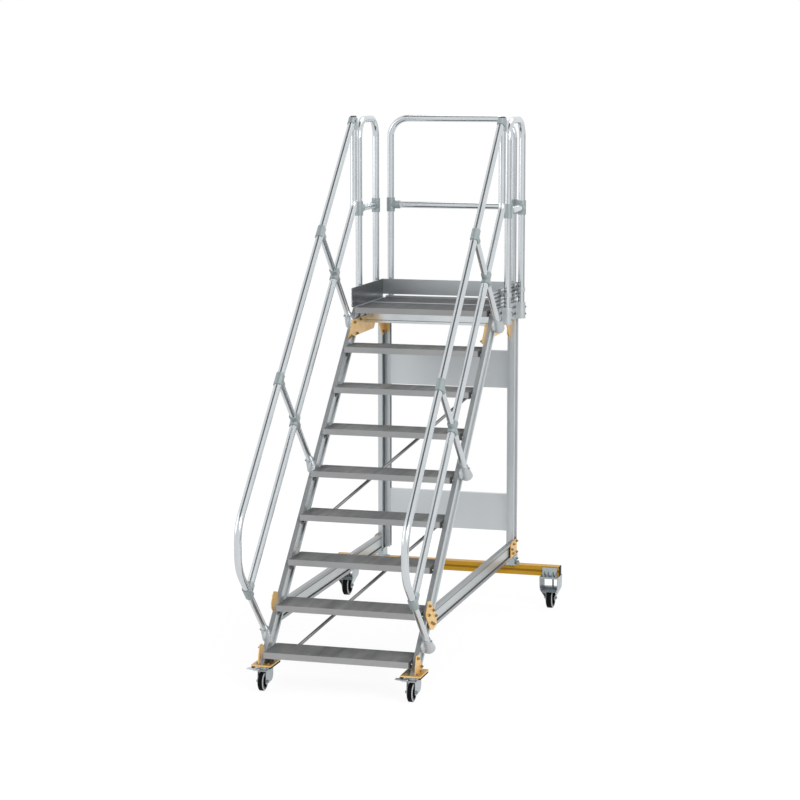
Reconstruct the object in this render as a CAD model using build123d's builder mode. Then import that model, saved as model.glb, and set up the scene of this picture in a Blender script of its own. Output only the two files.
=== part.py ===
from build123d import *
import os
from math import atan2, cos, radians, sin, tan

# Mobile platform stairs: an aluminium flight with a guarded platform, on castors.
# Millimetres. X is across the stairs, +Y is the way up the flight, Z is up from the floor.
# The origin is on the floor, under the middle of the whole machine.
os.makedirs("parts", exist_ok=True)

SIDES = (("left", -1), ("right", 1))

# Flight
tread_count = 8
rise = 207
going = 207
clear_width = 800
tread_depth = 225
tread_height = 33
step_skin = 4
nose_box = 28
web_height = 18
web_pitch = 62
rib_height = 2
rib_width = 7
rib_pitch = 15
seat_gap = 0.3

# Channelled bar that makes the stringers, rear posts and bottom rails
bar_thickness = 25
bar_depth = 100
flange_depth = 18
recess_depth = 8
stringer_below_nose = 90

# Platform
deck_depth = 644
plank_joint_gap = 2
beam_height = 101
beam_thickness = 25
beam_groove_width = 12
beam_groove_depth = 4
beam_groove_shares = (0.3, 0.7)
bearer_height = 66
front_beam_from_nose = 212
front_beam_drop = 109
front_beam_lip = 15
front_beam_step = 3
rear_beam_upstand = 10
toe_board_height = 112
toe_board_thickness = 8
toe_board_inset = 14
toe_board_rib = 3
toe_board_rib_count = 5
rear_toe_board_gap = 20

# Rails
tube_radius = 20
strut_radius = 17.5
rail_offset = 45
handrail_rise = 684
knee_rail_rise = 315
handrail_front = 255
handrail_corner_drop = 217
handrail_bend = 200
knee_rail_bend = 80
rail_post_past_nose = 134
guard_height = 1100
first_strut = 170
middle_strut = 1279
last_strut = 2321
sleeve_wall = 5
branch_step = 1
sleeve_reach = 38
strut_sleeve_reach = 50
low_branch_reach = 53
post_branch_reach = 65
foot_lap = 10
foot_length = 92
foot_top_radius = 22
foot_bottom_radius = 34

# Guard loops round the platform
side_leg_offset = 27
side_leg_first = 260
side_leg_last = 614
rear_leg_inset = 18
rear_leg_offset = 27
guard_bend = 110
knee_bar_height = 560
collar_length = 42
collar_branch_reach = 59
cup_wall = 6
cup_floor = 4
band_height = 72
band_width = 24
band_thickness = 3

# Rear frame and bottom rails
frame_bottom = 310
post_inset = 80
inner_post_width = 32
inner_post_depth = 40
inner_post_wall = 4
inner_post_lift = 10
panel_thickness = 4
low_panel_bottom = 460
high_panel_bottom = 1335
panel_height = 225

# Beam that carries the rear castors
cross_beam_length = 1400
cross_beam_size = 60
cross_beam_bottom = 200
cross_beam_inset = 14
beam_cap = 3

# Plates
plate_thickness = 5
castor_plate_thickness = 8
castor_plate_top = 142
castor_plate_width = 107
castor_plate_length = 165
plate_behind_swivel = 10
castor_x = 407
strip_width = 12
strip_height = 9

# Saddles and braces
saddle_rise = 8
saddle_flange = 8
brace_treads = ((1, 4), (4, 7))
brace_end_x = 330
brace_radius = 9
brace_sheet = 5
brace_drop = 22
brace_lug_lap = 20
brace_lug_width = 27
brace_lug_height = 58

# Front swivel castors
front_wheel_radius = 50
front_tyre_width = 32
front_trail = 45
swivel_from_first_nose = 50
fork_clearance = 5.5
fork_sheet = 3
castor_top_plate = 4
castor_top_length = 96
race_radius = 27
race_flare = 4
race_height = 8
race_gap = 0.5
kingpin_radius = 6
axle_radius = 6
leg_eye_radius = 17
fork_head_length = 112
leg_head_height = 6
leg_bulge_radius = 35
leg_bulge_back = 20
leg_bulge_height = 73
pedal_reach = 75
pedal_width = 30
pedal_tip = 17
pedal_rise = 8

# Rear fixed castors
rear_wheel_radius = 62.5
rear_tyre_width = 40
rear_castor_inset = 55
bracket_width = 90
bracket_sheet = 6
rear_fork_top_half_width = 57
rear_fork_bottom_half_width = 30
rear_fork_sheet = 4
rear_fork_draft = 2
rear_fork_length = 128
rear_fork_knee = 118
rear_fork_side_bottom = 135
rear_eye_radius = 20
wheel_guard_gap = 6.5
wheel_guard_angle = 53

# Wheels
tyre_depth = 15
tyre_shoulder = 2
rim_flange = 4
rim_bevel = 9
rim_edge_drop = 2.5
rim_wall = 4
hub_web = 8
boss_radius = 13
boss_gap = 1
axle_gap = 0.1

# Plate outlines, as pairs of distance behind and height above the place that each one names
platform_gusset = (  # from the platform's nose and top
    (-137, -164),
    (-120, -175),
    (-90, -165),
    (372, -161),
    (430, -103),
    (430, -67),
    (-48, -67),
)
post_gusset = (  # from the middle of the rear post and the platform's top
    (-170, -67),
    (-150, -124),
    (-50, -222),
    (-28, -222),
    (-14, -203),
    (0, -203),
    (0, -67),
)
rail_gusset = (  # from the first nose and the frame's lower edge
    (214, 88),
    (214, 114),
    (254, 168),
    (304, 156),
    (418, 50),
    (411, 2),
    (343, -7),
    (290, 12),
)
corner_gusset = (  # from the middle of the rear post and the frame's lower edge
    (-126, 10),
    (-126, 90),
    (-106, 105),
    (30, 105),
    (30, 10),
)
castor_ear = (  # from the first nose and the top of the castor plate
    (-6, -7),
    (2, 44),
    (22, 98),
    (58, 96),
    (78, 81),
    (143, -7),
)

# Derived places, from the first nose at ground-plan zero until y_of() shifts them
slope = atan2(rise, going)
inner_face = clear_width / 2
outer_face = inner_face + bar_thickness
platform_nose = tread_count * going
platform_top = (tread_count + 1) * rise
beam_bottom = platform_top - beam_height
deck_end = platform_nose + deck_depth
rear_beam_start = deck_end + seat_gap
rear_beam_end = rear_beam_start + beam_thickness
rear_leg_y = rear_beam_end + rear_leg_offset
front_reach = handrail_front + tube_radius
rear_reach = rear_leg_y + tube_radius + seat_gap + cup_wall
first_nose_y = (front_reach - rear_reach) / 2
rail_x = inner_face + rail_offset
post_centre = deck_end - post_inset + bar_depth / 2
rear_castor_x = cross_beam_length / 2 - rear_castor_inset


def y_of(distance):
    """Ground-plan place of a point that lies this far behind the first nose."""
    return first_nose_y + distance


def on_slope(x, along, above):
    """Point on the flight: along the nose line from the first nose, and square above it."""
    return (
        x,
        y_of(along * cos(slope) - above * sin(slope)),
        rise + along * sin(slope) + above * cos(slope),
    )


def along_at(distance, above):
    """How far along the nose line a point this far back and this high above it lies."""
    return (distance + above * sin(slope)) / cos(slope)


def save(piece, name):
    piece.part.label = name
    export_step(piece.part, f"parts/{name}.step")


def channelled_bar():
    """Section of the bar: thickness along x, depth along y, a recess in each broad face."""
    Rectangle(bar_thickness, bar_depth)
    with Locations((-bar_thickness / 2, 0), (bar_thickness / 2, 0)):
        Rectangle(2 * recess_depth, bar_depth - 2 * flange_depth, mode=Mode.SUBTRACT)


def step_section(front, top, depth):
    """Section of a tread or plank, seen from the side: skin, hollow nose, webs and ribs."""
    skin_top = top - rib_height
    wall_height = tread_height - rib_height
    hanging = (Align.MIN, Align.MAX)
    with Locations((front, skin_top)):
        Rectangle(depth, step_skin, align=hanging)
        Rectangle(nose_box, wall_height, align=hanging)
    with Locations((front + step_skin, skin_top - step_skin)):
        Rectangle(
            nose_box - 2 * step_skin,
            wall_height - 2 * step_skin,
            align=hanging,
            mode=Mode.SUBTRACT,
        )
    with Locations((front + depth - step_skin, skin_top)):
        Rectangle(step_skin, wall_height, align=hanging)
    web_count = int((depth - nose_box - step_skin) // web_pitch)
    for web in range(1, web_count + 1):
        with Locations((front + nose_box + (web - 0.5) * web_pitch, skin_top)):
            Rectangle(step_skin, web_height, align=hanging)
    rib_count = int((depth - rib_width) // rib_pitch) + 1
    for rib in range(rib_count):
        with Locations((front + rib * rib_pitch, skin_top)):
            Rectangle(rib_width, rib_height, align=(Align.MIN, Align.MIN))


def rod(start, end, radius, mode=Mode.ADD):
    """Round bar between two points, added to the part in progress."""
    run = Vector(*end) - Vector(*start)
    with Locations(Plane(origin=start, z_dir=run)):
        Cylinder(
            radius, run.length, align=(Align.CENTER, Align.CENTER, Align.MIN), mode=mode
        )


def side_plate(x, thickness, outline, back, height):
    """Plate that stands along the machine from x; its outline is taken from back and height."""
    with BuildSketch(Plane.YZ.offset(x)) as shape:
        with BuildLine():
            Polyline(*[(y_of(back + behind), height + above) for behind, above in outline], close=True)
        make_face()
    extrude(shape.sketch, amount=thickness)


# Stringers: the two sloping bars, cut level on the castor plates and under the deck's edge
rear_edge = on_slope(0, 0, -stringer_below_nose - bar_depth / 2 - seat_gap)
behind_stringers = Plane(origin=rear_edge, z_dir=(0, sin(slope), -cos(slope)))
for side, sign in SIDES:
    low = on_slope(sign * (inner_face + bar_thickness / 2), -bar_depth, -stringer_below_nose)
    with BuildPart() as stringer:
        with BuildSketch(Plane(origin=low, x_dir=(1, 0, 0), z_dir=(0, cos(slope), sin(slope)))):
            channelled_bar()
        extrude(amount=tread_count * rise / sin(slope) + 3 * bar_depth)
        split(bisect_by=Plane.XY.offset(castor_plate_top + seat_gap), keep=Keep.TOP)
        split(bisect_by=Plane.XY.offset(platform_top - seat_gap), keep=Keep.BOTTOM)
    save(stringer, f"stringer_{side}")

# Treads: ribbed hollow extrusions between the stringers
for number in range(1, tread_count + 1):
    with BuildPart() as tread:
        with BuildSketch(Plane.YZ):
            step_section(y_of((number - 1) * going), number * rise, tread_depth)
        extrude(amount=inner_face - seat_gap, both=True)
    save(tread, f"tread_{number}")

# Deck planks: the same extrusion, twice, between the side beams
plank_depth = (deck_depth - plank_joint_gap) / 2
for name, start in (("front", 0), ("rear", plank_depth + plank_joint_gap)):
    with BuildPart() as plank:
        with BuildSketch(Plane.YZ):
            step_section(y_of(platform_nose + start), platform_top, plank_depth)
        extrude(amount=inner_face - seat_gap, both=True)
    save(plank, f"deck_{name}")

# Side beams of the platform, grooved along the outside and mitred to the stringers
for side, sign in SIDES:
    with BuildPart() as side_beam:
        with BuildSketch(Plane.XZ.offset(-y_of(platform_nose))):
            with Locations((sign * (inner_face + beam_thickness / 2), platform_top)):
                Rectangle(beam_thickness, beam_height, align=(Align.CENTER, Align.MAX))
            for share in beam_groove_shares:
                groove_z = platform_top - share * beam_height
                with Locations((sign * (inner_face + beam_thickness), groove_z)):
                    Rectangle(2 * beam_groove_depth, beam_groove_width, mode=Mode.SUBTRACT)
        extrude(amount=-(rear_beam_end - platform_nose))
        split(bisect_by=behind_stringers, keep=Keep.TOP)
    save(side_beam, f"side_beam_{side}")

# Front beam and middle bearer under the planks, between the gusset plates
bearer_half = inner_face - plate_thickness - 2 * seat_gap
bearer_top = platform_top - tread_height - seat_gap
front_beam_bottom = platform_top - front_beam_drop
with BuildPart() as bearers:
    with BuildSketch(Plane.YZ):
        with Locations((y_of(platform_nose + front_beam_from_nose), front_beam_bottom)):
            Rectangle(beam_thickness, bearer_top - front_beam_bottom, align=(Align.MIN, Align.MIN))
            Rectangle(2 * front_beam_step, front_beam_lip, align=(Align.CENTER, Align.MIN))
        with Locations((y_of(platform_nose + deck_depth / 2), bearer_top)):
            Rectangle(beam_thickness, bearer_height, align=(Align.CENTER, Align.MAX))
        with Locations((y_of(platform_nose + deck_depth / 2), bearer_top - step_skin)):
            Rectangle(
                beam_thickness - 2 * step_skin,
                bearer_height,
                align=(Align.CENTER, Align.MAX),
                mode=Mode.SUBTRACT,
            )
    extrude(amount=bearer_half, both=True)
save(bearers, "deck_bearers")

# Rear beam, between the side beams, with a ledge under the rear plank and an upstand behind it
with BuildPart() as rear_beam:
    with BuildSketch(Plane.YZ):
        with Locations((y_of(rear_beam_start), beam_bottom)):
            Rectangle(
                beam_thickness, beam_height + rear_beam_upstand, align=(Align.MIN, Align.MIN)
            )
        with Locations((y_of(rear_beam_start), bearer_top)):
            Rectangle(beam_thickness, step_skin, align=(Align.MAX, Align.MAX))
    extrude(amount=inner_face - seat_gap, both=True)
save(rear_beam, "rear_beam")

# Toe boards: ribbed upright boards on three sides of the deck
toe_board_face = inner_face + toe_board_inset


def toe_board_section(out, height):
    """Board with ribs on its outer face; x grows outwards when out is 1."""
    plain = toe_board_thickness - toe_board_rib
    Rectangle(plain, height, align=(Align.CENTER, Align.MIN))
    step = height / toe_board_rib_count
    for rib in range(toe_board_rib_count):
        with Locations((out * plain / 2, (rib + 0.5) * step)):
            Rectangle(2 * toe_board_rib, step / 2)


for side, sign in SIDES:
    board_x = sign * (toe_board_face + (toe_board_thickness - toe_board_rib) / 2)
    board_start = (board_x, y_of(platform_nose), platform_top + seat_gap)
    with BuildPart() as toe_board:
        with BuildSketch(Plane(origin=board_start, x_dir=(1, 0, 0), z_dir=(0, -1, 0))):
            toe_board_section(sign, toe_board_height)
        extrude(amount=-(deck_depth - toe_board_thickness - seat_gap))
    save(toe_board, f"toe_board_{side}")

rear_board_y = y_of(deck_end - (toe_board_thickness - toe_board_rib) / 2 - toe_board_rib)
rear_board_half = inner_face + beam_thickness
rear_board_start = (-rear_board_half, rear_board_y, platform_top + rear_toe_board_gap)
with BuildPart() as rear_toe_board:
    with BuildSketch(Plane(origin=rear_board_start, x_dir=(0, 1, 0), z_dir=(1, 0, 0))):
        toe_board_section(1, toe_board_height - rear_toe_board_gap)
    extrude(amount=2 * rear_board_half)
save(rear_toe_board, "toe_board_rear")

# Handrails: one bent tube a side, from the low junction round the front and up the flight
guard_top = platform_top + guard_height
guard_axis = guard_top - tube_radius
rail_post_y = platform_nose + rail_post_past_nose
connector_bore = tube_radius + seat_gap
strut_bore = strut_radius + seat_gap
tube_end_gap = 2


def bent_tube(points, bend):
    """Round tube swept along straight runs joined by tangent bends."""
    with BuildLine() as route:
        FilletPolyline(*points, radius=bend)
    with BuildSketch(Plane(origin=route.line @ 0, z_dir=route.line % 0)) as section:
        Circle(tube_radius)
    sweep(sections=section.sketch, path=route.line)


for side, sign in SIDES:
    x = sign * rail_x
    upper_line = (rise + handrail_rise / cos(slope)) - handrail_front * tan(slope)
    upper_corner = (x, y_of(-handrail_front), upper_line)
    lower_corner = (x, y_of(-handrail_front), upper_line - handrail_corner_drop)
    post_meets = rail_post_y - connector_bore - tube_end_gap - tube_radius * sin(slope)
    handrail_end = on_slope(x, along_at(post_meets, handrail_rise), handrail_rise)
    low_end = on_slope(x, first_strut, knee_rail_rise + tube_end_gap)
    with BuildPart() as handrail:
        bent_tube((low_end, lower_corner, upper_corner, handrail_end), handrail_bend)
    save(handrail, f"handrail_{side}")

    # Knee rail: parallel to the handrail, then upright as the post beside the deck
    knee_start = on_slope(x, first_strut + connector_bore + tube_end_gap, knee_rail_rise)
    knee_corner = on_slope(x, along_at(rail_post_y, knee_rail_rise), knee_rail_rise)
    knee_top = (x, y_of(rail_post_y), guard_top)
    with BuildPart() as knee_rail:
        bent_tube((knee_start, knee_corner, knee_top), knee_rail_bend)
    save(knee_rail, f"knee_rail_{side}")

# Struts: short tubes square to the flight, from the foot sockets to the rails
foot_base = -stringer_below_nose - bar_depth / 2 + foot_lap
strut_base = foot_base + foot_length / 2
rail_end_gap = connector_bore + tube_end_gap
for side, sign in SIDES:
    x = sign * rail_x
    with BuildPart() as struts:
        rod(
            on_slope(x, first_strut, strut_base),
            on_slope(x, first_strut, knee_rail_rise - tube_end_gap),
            strut_radius,
        )
        for along in (middle_strut, last_strut):
            rod(
                on_slope(x, along, strut_base),
                on_slope(x, along, knee_rail_rise - rail_end_gap),
                strut_radius,
            )
            rod(
                on_slope(x, along, knee_rail_rise + rail_end_gap),
                on_slope(x, along, handrail_rise - rail_end_gap),
                strut_radius,
            )
    save(struts, f"rail_struts_{side}")

# Connectors: cast sleeves that join the rails and the struts
sleeve_radius = tube_radius + sleeve_wall
branch_radius = sleeve_radius - branch_step
for side, sign in SIDES:
    x = sign * rail_x
    outwards = sign * (outer_face + seat_gap)
    with BuildPart() as connectors:
        # low junction: handrail above, strut below, knee rail behind
        low_centre = on_slope(x, first_strut, knee_rail_rise)
        rod(
            on_slope(x, first_strut, knee_rail_rise - sleeve_reach),
            on_slope(x, first_strut, knee_rail_rise + sleeve_reach),
            sleeve_radius,
        )
        rod(low_centre, on_slope(x, first_strut + low_branch_reach, knee_rail_rise), branch_radius)
        for along in (middle_strut, last_strut):
            rod(
                on_slope(x, along - sleeve_reach, knee_rail_rise),
                on_slope(x, along + sleeve_reach, knee_rail_rise),
                sleeve_radius,
            )
            rod(
                on_slope(x, along, knee_rail_rise - strut_sleeve_reach),
                on_slope(x, along, knee_rail_rise + strut_sleeve_reach),
                strut_radius + sleeve_wall,
            )
            rod(
                on_slope(x, along - sleeve_reach, handrail_rise),
                on_slope(x, along + sleeve_reach, handrail_rise),
                sleeve_radius,
            )
            rod(
                on_slope(x, along, handrail_rise - strut_sleeve_reach),
                on_slope(x, along, handrail_rise),
                strut_radius + sleeve_wall,
            )
        # post top: handrail into the side of the upright
        post_x_y = (x, y_of(rail_post_y))
        rod(
            (*post_x_y, guard_top - 2 * sleeve_reach),
            (*post_x_y, guard_top - cup_wall),
            sleeve_radius,
        )
        end_along = along_at(rail_post_y, handrail_rise)
        rod(
            on_slope(x, end_along - post_branch_reach, handrail_rise),
            on_slope(x, end_along, handrail_rise),
            branch_radius,
        )
        split(bisect_by=Plane.XY.offset(guard_top), keep=Keep.BOTTOM)
        # bores for the tubes
        rod(
            on_slope(x, first_strut, 0),
            on_slope(x, first_strut, knee_rail_rise),
            strut_bore,
            Mode.SUBTRACT,
        )
        rod(
            on_slope(x, first_strut, knee_rail_rise),
            on_slope(x, first_strut, handrail_rise),
            connector_bore,
            Mode.SUBTRACT,
        )
        rod(
            on_slope(x, first_strut + strut_radius, knee_rail_rise),
            on_slope(x, along_at(rail_post_y, knee_rail_rise) - 2 * knee_rail_bend, knee_rail_rise),
            connector_bore,
            Mode.SUBTRACT,
        )
        for along in (middle_strut, last_strut):
            rod(
                on_slope(x, along, 0),
                on_slope(x, along, handrail_rise),
                strut_bore,
                Mode.SUBTRACT,
            )
        rod(
            on_slope(x, 0, handrail_rise),
            on_slope(x, end_along, handrail_rise),
            connector_bore,
            Mode.SUBTRACT,
        )
        rod(
            (*post_x_y, guard_top - 4 * sleeve_reach),
            (*post_x_y, guard_top + cup_wall),
            connector_bore,
            Mode.SUBTRACT,
        )
        # foot sockets: bells on the stringers' outer faces
        for along in (first_strut, middle_strut, last_strut):
            base = on_slope(x, along, foot_base)
            upwards = Vector(*on_slope(x, along, foot_base + 1)) - Vector(*base)
            with Locations(Plane(origin=base, z_dir=upwards)):
                Cone(
                    foot_bottom_radius,
                    foot_top_radius,
                    foot_length,
                    align=(Align.CENTER, Align.CENTER, Align.MIN),
                )
            rod(
                on_slope(x, along, strut_base - tube_end_gap),
                on_slope(x, along, foot_base + 2 * foot_length),
                strut_bore,
                Mode.SUBTRACT,
            )
        trim = Plane.YZ.offset(outwards)
        split(bisect_by=trim, keep=Keep.TOP if sign > 0 else Keep.BOTTOM)
    save(connectors, f"rail_connectors_{side}")

# Guard loops: bent tubes round the platform, each with a knee bar and two collars
side_leg_x = inner_face + beam_thickness + side_leg_offset
rear_leg_x = inner_face - rear_leg_inset
knee_bar_z = platform_top + knee_bar_height
leg_bottom = beam_bottom + cup_floor + seat_gap


def guard_loop(first_leg, last_leg):
    """Loop on two legs, each given as a point on the floor plan, with its knee bar."""
    first_top = (*first_leg, guard_axis)
    last_top = (*last_leg, guard_axis)
    bent_tube(((*first_leg, leg_bottom), first_top, last_top, (*last_leg, leg_bottom)), guard_bend)
    first = Vector(*first_leg, knee_bar_z)
    last = Vector(*last_leg, knee_bar_z)
    across = (last - first).normalized()
    rod(tuple(first + across * rail_end_gap), tuple(last - across * rail_end_gap), tube_radius)


def guard_collars(first_leg, last_leg):
    """Sleeves that hold the knee bar to the legs."""
    first = Vector(*first_leg, knee_bar_z)
    last = Vector(*last_leg, knee_bar_z)
    across = (last - first).normalized()
    upright = Vector(0, 0, collar_length)
    for centre, inwards in ((first, across), (last, -across)):
        rod(tuple(centre - upright), tuple(centre + upright), sleeve_radius)
        rod(tuple(centre), tuple(centre + inwards * collar_branch_reach), branch_radius)
    for centre in (first, last):
        rod(tuple(centre - 2 * upright), tuple(centre + 2 * upright), connector_bore, Mode.SUBTRACT)
    rod(
        tuple(first + across * strut_radius),
        tuple(last - across * strut_radius),
        connector_bore,
        Mode.SUBTRACT,
    )


side_legs = {
    side: (
        (sign * side_leg_x, y_of(platform_nose + side_leg_first)),
        (sign * side_leg_x, y_of(platform_nose + side_leg_last)),
    )
    for side, sign in SIDES
}
rear_legs = ((-rear_leg_x, y_of(rear_leg_y)), (rear_leg_x, y_of(rear_leg_y)))
loops = {"side_guard_left": side_legs["left"], "side_guard_right": side_legs["right"]}
loops["rear_guard"] = rear_legs

for name, legs in loops.items():
    with BuildPart() as guard:
        guard_loop(*legs)
    save(guard, name)

# Fittings of the guards: collars on the knee bars, and cups that hold the legs to the beams
cup_radius = connector_bore + cup_wall
cup_height = beam_height - cup_floor
beam_side = inner_face + beam_thickness + seat_gap


def guard_cups(legs, seat, towards):
    """Closed cups round the legs, with a pad on the beam's face; towards points at the beam."""
    pad = 2 * cup_radius + cup_wall
    for leg in legs:
        rod((*leg, beam_bottom), (*leg, beam_bottom + cup_height), cup_radius)
        pad_centre = (leg[0] + towards[0] * cup_radius, leg[1] + towards[1] * cup_radius)
        with Locations((*pad_centre, beam_bottom + cup_height / 2)):
            if towards[0]:
                Box(2 * cup_radius, pad, cup_height)
            else:
                Box(pad, 2 * cup_radius, cup_height)
    for leg in legs:
        rod(
            (*leg, leg_bottom - seat_gap),
            (*leg, platform_top + cup_height),
            connector_bore,
            Mode.SUBTRACT,
        )
    split(bisect_by=seat, keep=Keep.TOP)


def toe_board_bands(legs, sign):
    """Flat bands that tie the side legs to the toe board."""
    board_outside = toe_board_face + toe_board_thickness + seat_gap
    band_length = side_leg_x - board_outside
    for leg in legs:
        rod(
            (*leg, platform_top + band_height - band_width / 2),
            (*leg, platform_top + band_height + band_width / 2),
            connector_bore + band_thickness,
        )
        with Locations((sign * (board_outside + band_length / 2), leg[1], platform_top + band_height)):
            Box(band_length, 2 * band_thickness, band_width)
        rod(
            (*leg, platform_top),
            (*leg, platform_top + 2 * band_height),
            connector_bore,
            Mode.SUBTRACT,
        )


for side, sign in SIDES:
    legs = side_legs[side]
    seat = Plane(origin=(sign * beam_side, 0, 0), z_dir=(sign, 0, 0))
    with BuildPart() as fittings:
        guard_cups(legs, seat, (-sign, 0))
        toe_board_bands(legs, sign)
        guard_collars(*legs)
    save(fittings, f"guard_fittings_{side}")

rear_seat = Plane(origin=(0, y_of(rear_beam_end) + seat_gap, 0), z_dir=(0, 1, 0))
with BuildPart() as rear_fittings:
    guard_cups(rear_legs, rear_seat, (0, -1))
    guard_collars(*rear_legs)
save(rear_fittings, "guard_fittings_rear")

# Rear posts: upright lengths of the bar, under the side beams
for side, sign in SIDES:
    bar_x = sign * (inner_face + bar_thickness / 2)
    with BuildPart() as post:
        with BuildSketch(Plane.XY.offset(frame_bottom)):
            with Locations((bar_x, y_of(post_centre))):
                channelled_bar()
        extrude(amount=beam_bottom - seat_gap - frame_bottom)
    save(post, f"rear_post_{side}")

    # Bottom rails: level lengths of the bar, mitred to the stringers' rear edges
    rail_start = (bar_x, y_of(0), frame_bottom + bar_depth / 2)
    with BuildPart() as bottom_rail:
        with BuildSketch(Plane(origin=rail_start, x_dir=(1, 0, 0), z_dir=(0, 1, 0))):
            channelled_bar()
        extrude(amount=post_centre - bar_depth / 2 - seat_gap)
        split(bisect_by=behind_stringers, keep=Keep.TOP)
    save(bottom_rail, f"bottom_rail_{side}")

# Inner rear channels: open towards the middle, they hold the two cross panels
inner_post_y = post_centre + bar_depth / 2 - inner_post_depth / 2
with BuildPart() as inner_posts:
    with BuildSketch(Plane.XY.offset(frame_bottom + inner_post_lift)):
        for side, sign in SIDES:
            centre = sign * (inner_face - seat_gap - inner_post_width / 2)
            with Locations((centre, y_of(inner_post_y))):
                Rectangle(inner_post_width, inner_post_depth)
            with Locations((centre - sign * inner_post_wall, y_of(inner_post_y))):
                Rectangle(
                    inner_post_width,
                    inner_post_depth - 2 * inner_post_wall,
                    mode=Mode.SUBTRACT,
                )
    extrude(amount=beam_bottom - seat_gap - frame_bottom - inner_post_lift)
save(inner_posts, "inner_rear_channels")

panel_half = inner_face - inner_post_wall - 3 * seat_gap
panel_edge = inner_post_depth / 2 - inner_post_wall - seat_gap
with BuildPart() as panels:
    for bottom in (low_panel_bottom, high_panel_bottom):
        with Locations((0, y_of(inner_post_y), bottom)):
            Box(
                2 * panel_half,
                2 * panel_edge,
                panel_height,
                align=(Align.CENTER, Align.CENTER, Align.MIN),
            )
        with Locations((0, y_of(inner_post_y) + panel_thickness, bottom + panel_thickness)):
            Box(
                2 * (panel_half - inner_post_width),
                2 * panel_edge,
                panel_height - 2 * panel_thickness,
                align=(Align.CENTER, Align.CENTER, Align.MIN),
                mode=Mode.SUBTRACT,
            )
save(panels, "rear_panels")

# Cross beam: square tube with a groove in each upright face, wider than the stairs
beam_y = y_of(deck_end - cross_beam_inset)
beam_half = cross_beam_length / 2
beam_top = cross_beam_bottom + cross_beam_size
with BuildPart() as cross_beam:
    with BuildSketch(Plane.YZ):
        with Locations((beam_y, cross_beam_bottom)):
            Rectangle(cross_beam_size, cross_beam_size, align=(Align.CENTER, Align.MIN))
        with Locations(
            (beam_y - cross_beam_size / 2, cross_beam_bottom + cross_beam_size / 2),
            (beam_y + cross_beam_size / 2, cross_beam_bottom + cross_beam_size / 2),
        ):
            Rectangle(2 * beam_groove_depth, beam_groove_width, mode=Mode.SUBTRACT)
    extrude(amount=beam_half, both=True)
save(cross_beam, "cross_beam")

with BuildPart() as beam_caps:
    for side, sign in SIDES:
        with Locations((sign * (beam_half + seat_gap + beam_cap / 2), beam_y, cross_beam_bottom)):
            Box(
                beam_cap,
                cross_beam_size,
                cross_beam_size,
                align=(Align.CENTER, Align.CENTER, Align.MIN),
            )
save(beam_caps, "beam_caps")

# Saddles: bent sheet between the rear posts and the cross beam
saddle_base_width = bar_thickness + 4 * bracket_sheet
saddle_top = frame_bottom + saddle_rise
with BuildPart() as saddles:
    for side, sign in SIDES:
        bar_x = sign * (inner_face + bar_thickness / 2)
        saddle_length = bar_depth - 2 * bracket_sheet
        with Locations((bar_x, y_of(post_centre), beam_top + seat_gap)):
            Box(
                saddle_base_width + 2 * saddle_flange,
                saddle_length,
                bracket_sheet,
                align=(Align.CENTER, Align.CENTER, Align.MIN),
            )
            Box(
                bar_thickness + 2 * (bracket_sheet + seat_gap),
                saddle_length,
                saddle_top - beam_top - seat_gap,
                align=(Align.CENTER, Align.CENTER, Align.MIN),
            )
        with Locations((bar_x, y_of(post_centre), frame_bottom - bracket_sheet)):
            Box(
                bar_thickness + 2 * seat_gap,
                bar_depth,
                saddle_top - frame_bottom + bracket_sheet,
                align=(Align.CENTER, Align.CENTER, Align.MIN),
                mode=Mode.SUBTRACT,
            )
save(saddles, "beam_saddles")

# Gusset plates: two inside each side at the platform, two outside at the bottom rail. The rear
# one at the platform is folded round the front of the inner channel.
inside_plate = inner_face - seat_gap
outside_plate = outer_face + seat_gap
fold_top = platform_top + post_gusset[-1][1]
fold_bottom = platform_top + post_gusset[-2][1]
for side, sign in SIDES:
    inward = -sign * plate_thickness
    outward = sign * plate_thickness
    with BuildPart() as gussets:
        side_plate(sign * inside_plate, inward, platform_gusset, platform_nose, platform_top)
        side_plate(sign * inside_plate, inward, post_gusset, post_centre, platform_top)
        with Locations((sign * (inside_plate - inner_post_width / 2), y_of(post_centre), fold_bottom)):
            Box(
                inner_post_width,
                plate_thickness,
                fold_top - fold_bottom,
                align=(Align.CENTER, Align.MAX, Align.MIN),
            )
        side_plate(sign * outside_plate, outward, rail_gusset, 0, frame_bottom)
        side_plate(sign * outside_plate, outward, corner_gusset, post_centre, frame_bottom)
    save(gussets, f"gussets_{side}")

# Diagonal braces behind the treads, each end flattened and bolted to a tread's rear wall
with BuildPart() as braces:
    for low_tread, high_tread in brace_treads:
        ends = []
        for number, sign in ((low_tread, -1), (high_tread, 1)):
            lug_y = y_of((number - 1) * going + tread_depth) + seat_gap
            lug_z = number * rise - tread_height
            ends.append((sign * brace_end_x, lug_y + brace_sheet, lug_z - brace_drop))
            with Locations((sign * brace_end_x, lug_y, lug_z + brace_lug_lap)):
                Box(
                    brace_lug_width,
                    brace_sheet,
                    brace_lug_height,
                    align=(Align.CENTER, Align.MIN, Align.MAX),
                )
        rod(ends[0], ends[1], brace_radius)
save(braces, "braces")

# Plates on the front castors, each with an upright ear on the stringer's outside
plate_under = castor_plate_top - castor_plate_thickness
plate_middle = swivel_from_first_nose + plate_behind_swivel
with BuildPart() as castor_plates:
    for side, sign in SIDES:
        with Locations((sign * castor_x, y_of(plate_middle), plate_under)):
            Box(
                castor_plate_width,
                castor_plate_length,
                castor_plate_thickness,
                align=(Align.CENTER, Align.CENTER, Align.MIN),
            )
        side_plate(sign * outside_plate, sign * plate_thickness, castor_ear, 0, castor_plate_top)
save(castor_plates, "front_castor_plates")

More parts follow.
